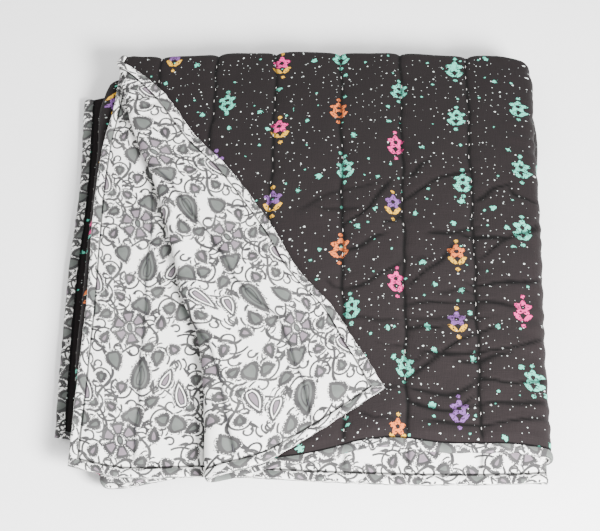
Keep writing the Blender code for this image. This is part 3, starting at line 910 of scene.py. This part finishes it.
def floral_cotton(name, dyes):
    """Cream cotton with a block print of flowers, serrated leaves and curling vines."""
    material, draw = cotton(name)
    place = draw.cloth_place()
    rough = draw.scaled(draw.noise(place, 1.5, 1.0), 8.0, -4.6)

    bold = 0.45
    vines = draw.nearest([draw.arc(place, *row) for row in VINES])
    waves = draw.nearest([draw.wave(place, *row) for row in WAVES])
    combs = draw.nearest([draw.comb(place, *row) for row in COMBS])
    commas = draw.nearest([draw.leaf(place, *row) for row in COMMAS])
    tendrils = draw.nearest([draw.tendrils(place, *row) for row in TENDRILS])
    lines = draw.scaled(rough, 0.1, draw.nearest([vines, waves, combs, commas, tendrils]))
    colour = draw.colour(draw.within(lines, bold), dyes.cream, dyes.ink)

    for table, dye in ((GREY_LEAVES, dyes.leaf), (LILAC_LEAVES, dyes.petal)):
        shape = draw.nearest([draw.leaf(place, *row) for row in table])
        colour = draw.colour(draw.within(shape, 3.2), colour, dyes.cream)
        colour = draw.colour(draw.within(draw.plus(shape, rough), 1.6), colour, dyes.ink)
        colour = draw.colour(draw.within(shape, -3.7), colour, dye)

    ringed = draw.nearest([draw.leaf(place, *row) for row in RINGED_LEAVES])
    colour = draw.colour(draw.within(ringed, 2.4), colour, dyes.cream)
    colour = draw.colour(draw.within(draw.plus(ringed, rough), 0.8), colour, dyes.ink)
    for edge, dye in ((-2.6, dyes.cream), (-4.2, dyes.ink), (-6.0, dyes.petal)):
        colour = draw.colour(draw.within(ringed, edge), colour, dye)

    largest = draw.leaf(place, *GREY_LEAVES[0])
    for edge, dye in ((-6.4, dyes.ink), (-8.0, dyes.leaf)):
        colour = draw.colour(draw.within(largest, edge), colour, dye)

    local = draw.around(place, 0, 0, 14)
    x, y = draw.split(local)
    reach = draw.vector("LENGTH", local)
    sixth = draw.times(draw.math("ARCTAN2", y, x), 6 / math.tau)
    sixth = draw.minus(draw.math("FRACT", sixth), 0.5)
    across = draw.size(draw.times(draw.times(sixth, math.tau / 6), reach))
    side = draw.minus(across, draw.scaled(reach, 0.36, 0.7))
    end = draw.minus(draw.size(draw.minus(reach, 15.6)), 7.9)
    petal = draw.most(side, end)
    colour = draw.colour(draw.within(draw.minus(reach, 24.0)), colour, dyes.cream)
    serrated = draw.plus(petal, draw.times(rough, 0.9))
    colour = draw.colour(draw.within(serrated, 0.9), colour, dyes.ink)
    fill = draw.most(draw.plus(petal, 2.2), draw.minus(reach, 19.6))
    colour = draw.colour(draw.within(fill), colour, dyes.petal)
    core = draw.vector("LENGTH", draw.vector("MULTIPLY", local, (1 / 3.6, 1 / 5.8, 1)))
    core = draw.scaled(core, 4.0, -4.0)
    for edge, dye in ((0.8, dyes.ink), (-1.3, dyes.leaf)):
        colour = draw.colour(draw.within(core, edge), colour, dye)

    fade = draw.times(draw.noise(place, 26.0, 3.0), 0.1)
    colour = draw.colour(fade, colour, dyes.cream)
    # painted shade along the binding's inner edge, and in the seams and pleats
    colour = draw.with_painted_shade(draw.edge_seam(place, colour, 1.5), 0.85)
    draw.threads(place, colour, 0.05, 0.35)
    return material


def charcoal_cotton(name, dyes):
    """Charcoal cotton with flecks, spots and scattered blossoms in a few pale and bright dyes."""
    material, draw = cotton(name)
    place = draw.cloth_place()
    rough = draw.scaled(draw.noise(place, 1.7, 2.0), 3.2, -1.6)
    ragged = draw.scaled(draw.noise(place, 3.4, 2.0), 7.0, -3.5)
    deeper = tuple(0.8 * c for c in dyes.charcoal)
    colour = draw.colour(draw.noise(place, 60.0, 3.0), dyes.charcoal, deeper)
    # painted shade: the ground is darker towards the far fold, and on all of the half under it
    far_shade = draw.math("MULTIPLY_ADD", draw.split(place)[1], 1 / 320, -0.25, clamp=True)
    colour = draw.colour(far_shade, tuple(0.6 * c for c in dyes.charcoal), colour)

    crowd = draw.noise(place, 70.0, 2.0)
    # cell size, least and greatest radius, share of cells left empty, unevenness, dye
    for cell, least, greatest, empty, uneven, dye in (
        (9.0, 0.2, 0.7, 0.58, 0.3, dyes.pale),
        (21.0, 0.5, 1.3, 0.45, 0.7, dyes.pale),
        (38.0, 0.9, 1.9, 0.40, 0.9, dyes.teal),
        (50.0, 2.3, 3.9, 0.42, 1.1, dyes.teal),
    ):
        spot = draw.node("ShaderNodeTexVoronoi", voronoi_dimensions="2D")
        draw.plug(spot.inputs["Vector"], draw.vector("ADD", place, (3.7 * cell, 1.3 * cell, 0)))
        spot.inputs["Scale"].default_value = 1 / cell
        distance = draw.times(spot.outputs["Distance"], cell)
        chance, size = draw.split(spot.outputs["Color"])
        size = draw.scaled(size, greatest - least, least)
        edge = rough if greatest < 2 else ragged
        distance = draw.minus(draw.scaled(edge, uneven, distance), size)
        wanted = draw.math("GREATER_THAN", draw.scaled(crowd, 0.5, chance), empty + 0.25)
        colour = draw.colour(draw.times(draw.within(distance, 0.0, 0.4), wanted), colour, dye)

    # blossoms stand in staggered columns, each moved a little from its place
    width, height = BLOSSOM_CELL
    x, y = draw.split(place)
    column = draw.math("FLOOR", draw.math("DIVIDE", x, width))
    drop = draw.math("FLOORED_MODULO", draw.times(column, 0.382), 1.0)
    drop = draw.times(drop, height)
    dropped = draw.plus(y, drop)
    row = draw.math("FLOOR", draw.math("DIVIDE", dropped, height))
    cell = draw.node("ShaderNodeCombineXYZ", column, row, 0.0).outputs[0]
    random = draw.node("ShaderNodeTexWhiteNoise", noise_dimensions="2D")
    draw.plug(random.inputs["Vector"], cell)
    first, second = draw.split(random.outputs["Color"])
    x = draw.minus(draw.minus(x, draw.times(column, width)), width / 2)
    y = draw.minus(draw.minus(dropped, draw.times(row, height)), height / 2)
    x = draw.scaled(first, 18.0, draw.minus(x, 9.0))
    y = draw.scaled(second, -30.0, draw.minus(15.0, y))
    side = draw.size(x)

    # an open flower of five petals, two leaves under it, and a dot above and below
    flower = draw.node("ShaderNodeCombineXYZ", x, draw.minus(y, 5.0), 0.0).outputs[0]
    reach = draw.vector("LENGTH", flower)
    turn = draw.math("ARCTAN2", draw.minus(y, 5.0), x)
    petals = draw.math("SINE", draw.times(turn, 5.0))
    petals = draw.minus(reach, draw.scaled(petals, 2.2, 9.2))
    petals = draw.most(petals, draw.minus(3.1, reach))
    leaf_y = draw.plus(draw.scaled(side, -0.8, y), 13.5)
    bulge = draw.math("POWER", draw.math("DIVIDE", draw.minus(side, 6.0), 6.0), 2.0)
    leaf = draw.minus(draw.size(leaf_y), draw.scaled(bulge, -4.4, 4.4))
    leaf = draw.most(leaf, draw.minus(side, 11.6))
    above = draw.node("ShaderNodeCombineXYZ", x, draw.minus(y, 21.5), 0.0).outputs[0]
    below = draw.node("ShaderNodeCombineXYZ", x, draw.plus(y, 22.0), 0.0).outputs[0]
    dots = draw.nearest([draw.minus(draw.vector("LENGTH", dot), 2.6) for dot in (above, below)])
    worn = draw.math("GREATER_THAN", draw.noise(place, 2.4, 3.0), 0.40)
    dye = dyes.teal
    for limit, other in ((0.58, dyes.pink), (0.71, dyes.orange), (0.85, dyes.purple)):
        dye = draw.colour(draw.math("GREATER_THAN", random.outputs["Value"], limit), dye, other)
    second_dye = draw.colour(draw.math("GREATER_THAN", first, 0.6), dye, dyes.yellow)
    second_dye = draw.colour(draw.math("LESS_THAN", second, 0.45), second_dye, dye)
    shape = draw.plus(petals, rough)
    colour = draw.colour(draw.times(draw.within(shape), worn), colour, dye)
    shape = draw.plus(draw.nearest([leaf, dots]), rough)
    colour = draw.colour(draw.times(draw.within(shape), worn), colour, second_dye)
    # painted shade along the binding's inner edge, and in the seams and creases
    colour = draw.with_painted_shade(draw.edge_seam(place, colour, 1.3), 0.9)
    draw.threads(place, colour, 0.2, 0.7)
    return material


def thread(name, colour):
    """Matt sewing thread, with a little unevenness from its ply."""
    material, draw = cotton(name)
    place = draw.cloth_place()
    ply = draw.noise(place, 0.5, 1.0)
    shade = draw.colour(ply, tuple(0.7 * c for c in colour), colour)
    draw.plug(draw.shader.inputs["Base Color"], shade)
    draw.shader.inputs["Roughness"].default_value = 0.7
    return material


def dye_property(name, description, default):
    """A colour that a user may change."""
    return FloatVectorProperty(
        name=name, description=description, subtype="COLOR", size=3, min=0, max=1, default=default
    )


class ThrowCloth(PropertyGroup):
    """The thickness of the quilting and of the binding"""

    crest: FloatProperty(name="Crest", description="Thickness of a panel mid-channel, in mm", default=3.0)
    puff: FloatProperty(name="Puff", description="Extra height of the uppermost channels, in mm", default=3.2)
    binding_puff: FloatProperty(
        name="Binding puff", description="Half the binding's thickness, in mm", default=2.9
    )


class ThrowDyes(PropertyGroup):
    """The colours of both prints and of the threads"""

    charcoal: dye_property("Charcoal", "Ground of the dark side", (0.0130, 0.0097, 0.0101))
    pale: dye_property("Pale", "Fine flecks on the dark side", (0.50, 0.55, 0.53))
    teal: dye_property("Teal", "Spots and most blossoms", (0.075, 0.45, 0.33))
    pink: dye_property("Pink", "Some blossoms", (0.62, 0.03, 0.20))
    orange: dye_property("Orange", "Some blossoms", (0.56, 0.13, 0.03))
    purple: dye_property("Purple", "Some blossoms", (0.15, 0.06, 0.22))
    yellow: dye_property("Yellow", "Leaves of some blossoms", (0.56, 0.30, 0.02))
    cream: dye_property("Cream", "Ground of the floral side", (0.90, 0.895, 0.87))
    ink: dye_property("Ink", "Outlines and vines of the floral print", (0.0105, 0.0097, 0.0115))
    petal: dye_property("Petal", "Lilac grey of the petals", (0.145, 0.112, 0.140))
    leaf: dye_property("Leaf", "Green grey of the leaves", (0.062, 0.072, 0.066))
    light_thread: dye_property("Light thread", "Stitches on the dark side", (0.58, 0.555, 0.53))
    dark_thread: dye_property("Dark thread", "Stitches on the floral side", (0.05, 0.048, 0.055))


class ThrowStudio(PropertyGroup):
    """The floor, the camera and the light"""

    floor: dye_property("Floor", "Colour of the floor", (0.93, 0.93, 0.93))
    lens: FloatProperty(name="Lens", description="Focal length in mm", default=93.54)
    distance: FloatProperty(name="Distance", description="Camera distance", default=1.980, unit="LENGTH")
    elevation: FloatProperty(
        name="Elevation", description="Camera height angle", default=math.radians(60), subtype="ANGLE"
    )
    key_power: FloatProperty(name="Key light", description="Power of the main light, in W", default=185.0)
    fill_power: FloatProperty(name="Fill light", description="Power of the fill light, in W", default=22.0)
    sky: FloatProperty(name="Sky", description="Strength of the light from all round", default=1.2)


class THROW_OT_face(Operator):
    """Lays the dark printed face on its folds, with puffed channels and drag creases"""

    bl_idname = "throw.face"
    bl_label = "Dark face"

    def execute(self, context):
        cloth, dyes = context.scene.throw_cloth, context.scene.throw_dyes
        material = charcoal_cotton("charcoal_print", dyes)
        panel_piece("face_cloth", face_shape, cloth, material, "face_panel", True)
        return {"FINISHED"}


class THROW_OT_backing(Operator):
    """Lays the floral backing on its folds"""

    bl_idname = "throw.backing"
    bl_label = "Floral backing"

    def execute(self, context):
        cloth, dyes = context.scene.throw_cloth, context.scene.throw_dyes
        material = floral_cotton("floral_print", dyes)
        panel_piece("backing_cloth", backing_shape, cloth, material, "backing_panel", False)
        return {"FINISHED"}


class THROW_OT_binding(Operator):
    """Folds the floral binding over the cloth's edges"""

    bl_idname = "throw.binding"
    bl_label = "Binding"

    def execute(self, context):
        binding_piece(context.scene.throw_cloth, floral_cotton("binding_print", context.scene.throw_dyes))
        return {"FINISHED"}


class THROW_OT_stitches(Operator):
    """Sews the running stitches along the quilted seams of both sides"""

    bl_idname = "throw.stitches"
    bl_label = "Stitches"

    def execute(self, context):
        dyes = context.scene.throw_dyes
        light, dark = thread("light_thread", dyes.light_thread), thread("dark_thread", dyes.dark_thread)
        stitch_piece("face_stitches", 1.2, 4.8, 14.7, 1.0, 0.0, light)
        stitch_piece("backing_stitches", -2.2, 9.0, 10.5, 1.5, 9.0, dark)
        return {"FINISHED"}


class THROW_OT_stage(Operator):
    """Adds the floor, the soft lights and the camera"""

    bl_idname = "throw.stage"
    bl_label = "Stage"

    def execute(self, context):
        studio = context.scene.throw_studio
        scene = context.scene
        bm = bmesh.new()
        bmesh.ops.create_grid(bm, x_segments=1, y_segments=1, size=4.0)
        mesh = bpy.data.meshes.new("floor")
        bm.to_mesh(mesh)
        bm.free()
        material = bpy.data.materials.new("floor")
        material.use_nodes = True
        shader = material.node_tree.nodes["Principled BSDF"]
        shader.inputs["Base Color"].default_value = (*studio.floor, 1)
        shader.inputs["Roughness"].default_value = 0.9
        mesh.materials.append(material)
        floor = bpy.data.objects.new("floor", mesh)
        scene.collection.objects.link(floor)
        # place, size, power, and the turn that points each lamp at the throw
        for name, place, size, power in (
            ("key", (0.85, -1.2, 1.25), 0.6, studio.key_power),
            ("fill", (-1.4, -0.6, 2.2), 2.0, studio.fill_power),
        ):
            light = bpy.data.lights.new(name, "AREA")
            light.energy = power
            light.size = size
            lamp = bpy.data.objects.new(name, light)
            lamp.location = place
            x, y, z = place
            lamp.rotation_euler = (math.atan2(math.hypot(x, y), z), 0, math.atan2(-x, y) + math.pi)
            scene.collection.objects.link(lamp)
        world = bpy.data.worlds.new("sky")
        world.use_nodes = True
        background = world.node_tree.nodes["Background"]
        background.inputs["Color"].default_value = (1, 1, 1, 1)
        background.inputs["Strength"].default_value = studio.sky
        scene.world = world
        lens = bpy.data.cameras.new("camera")
        lens.lens = studio.lens
        lens.sensor_width = 36
        camera = bpy.data.objects.new("camera", lens)
        camera.location = (
            -BLOCK_CENTRE_X * MM,
            -BLOCK_CENTRE_Y * MM - studio.distance * math.cos(studio.elevation),
            AIM_HEIGHT * MM + studio.distance * math.sin(studio.elevation),
        )
        camera.rotation_euler = (math.pi / 2 - studio.elevation, 0, 0)
        scene.collection.objects.link(camera)
        scene.camera = camera
        return {"FINISHED"}


class THROW_PT_panel(Panel):
    """The throw's sizes, dyes and pieces"""

    bl_label = "Throw"
    bl_space_type = "VIEW_3D"
    bl_region_type = "UI"
    bl_category = "Throw"

    def draw(self, context):
        for group in (context.scene.throw_cloth, context.scene.throw_dyes, context.scene.throw_studio):
            box = self.layout.box()
            for name in group.__annotations__:
                box.prop(group, name)
        for operator in OPERATORS:
            self.layout.operator(operator.bl_idname)


GROUPS = {"throw_cloth": ThrowCloth, "throw_dyes": ThrowDyes, "throw_studio": ThrowStudio}
OPERATORS = [THROW_OT_face, THROW_OT_backing, THROW_OT_binding, THROW_OT_stitches, THROW_OT_stage]


def register():
    for item in [*GROUPS.values(), *OPERATORS, THROW_PT_panel]:
        bpy.utils.register_class(item)
    for name, group in GROUPS.items():
        setattr(bpy.types.Scene, name, PointerProperty(type=group))


def unregister():
    for name in GROUPS:
        delattr(bpy.types.Scene, name)
    for item in reversed([*GROUPS.values(), *OPERATORS, THROW_PT_panel]):
        bpy.utils.unregister_class(item)


def main():
    register()
    bpy.ops.throw.face()
    bpy.ops.throw.backing()
    bpy.ops.throw.binding()
    bpy.ops.throw.stitches()
    bpy.ops.throw.stage()


if __name__ == "__main__":
    main()
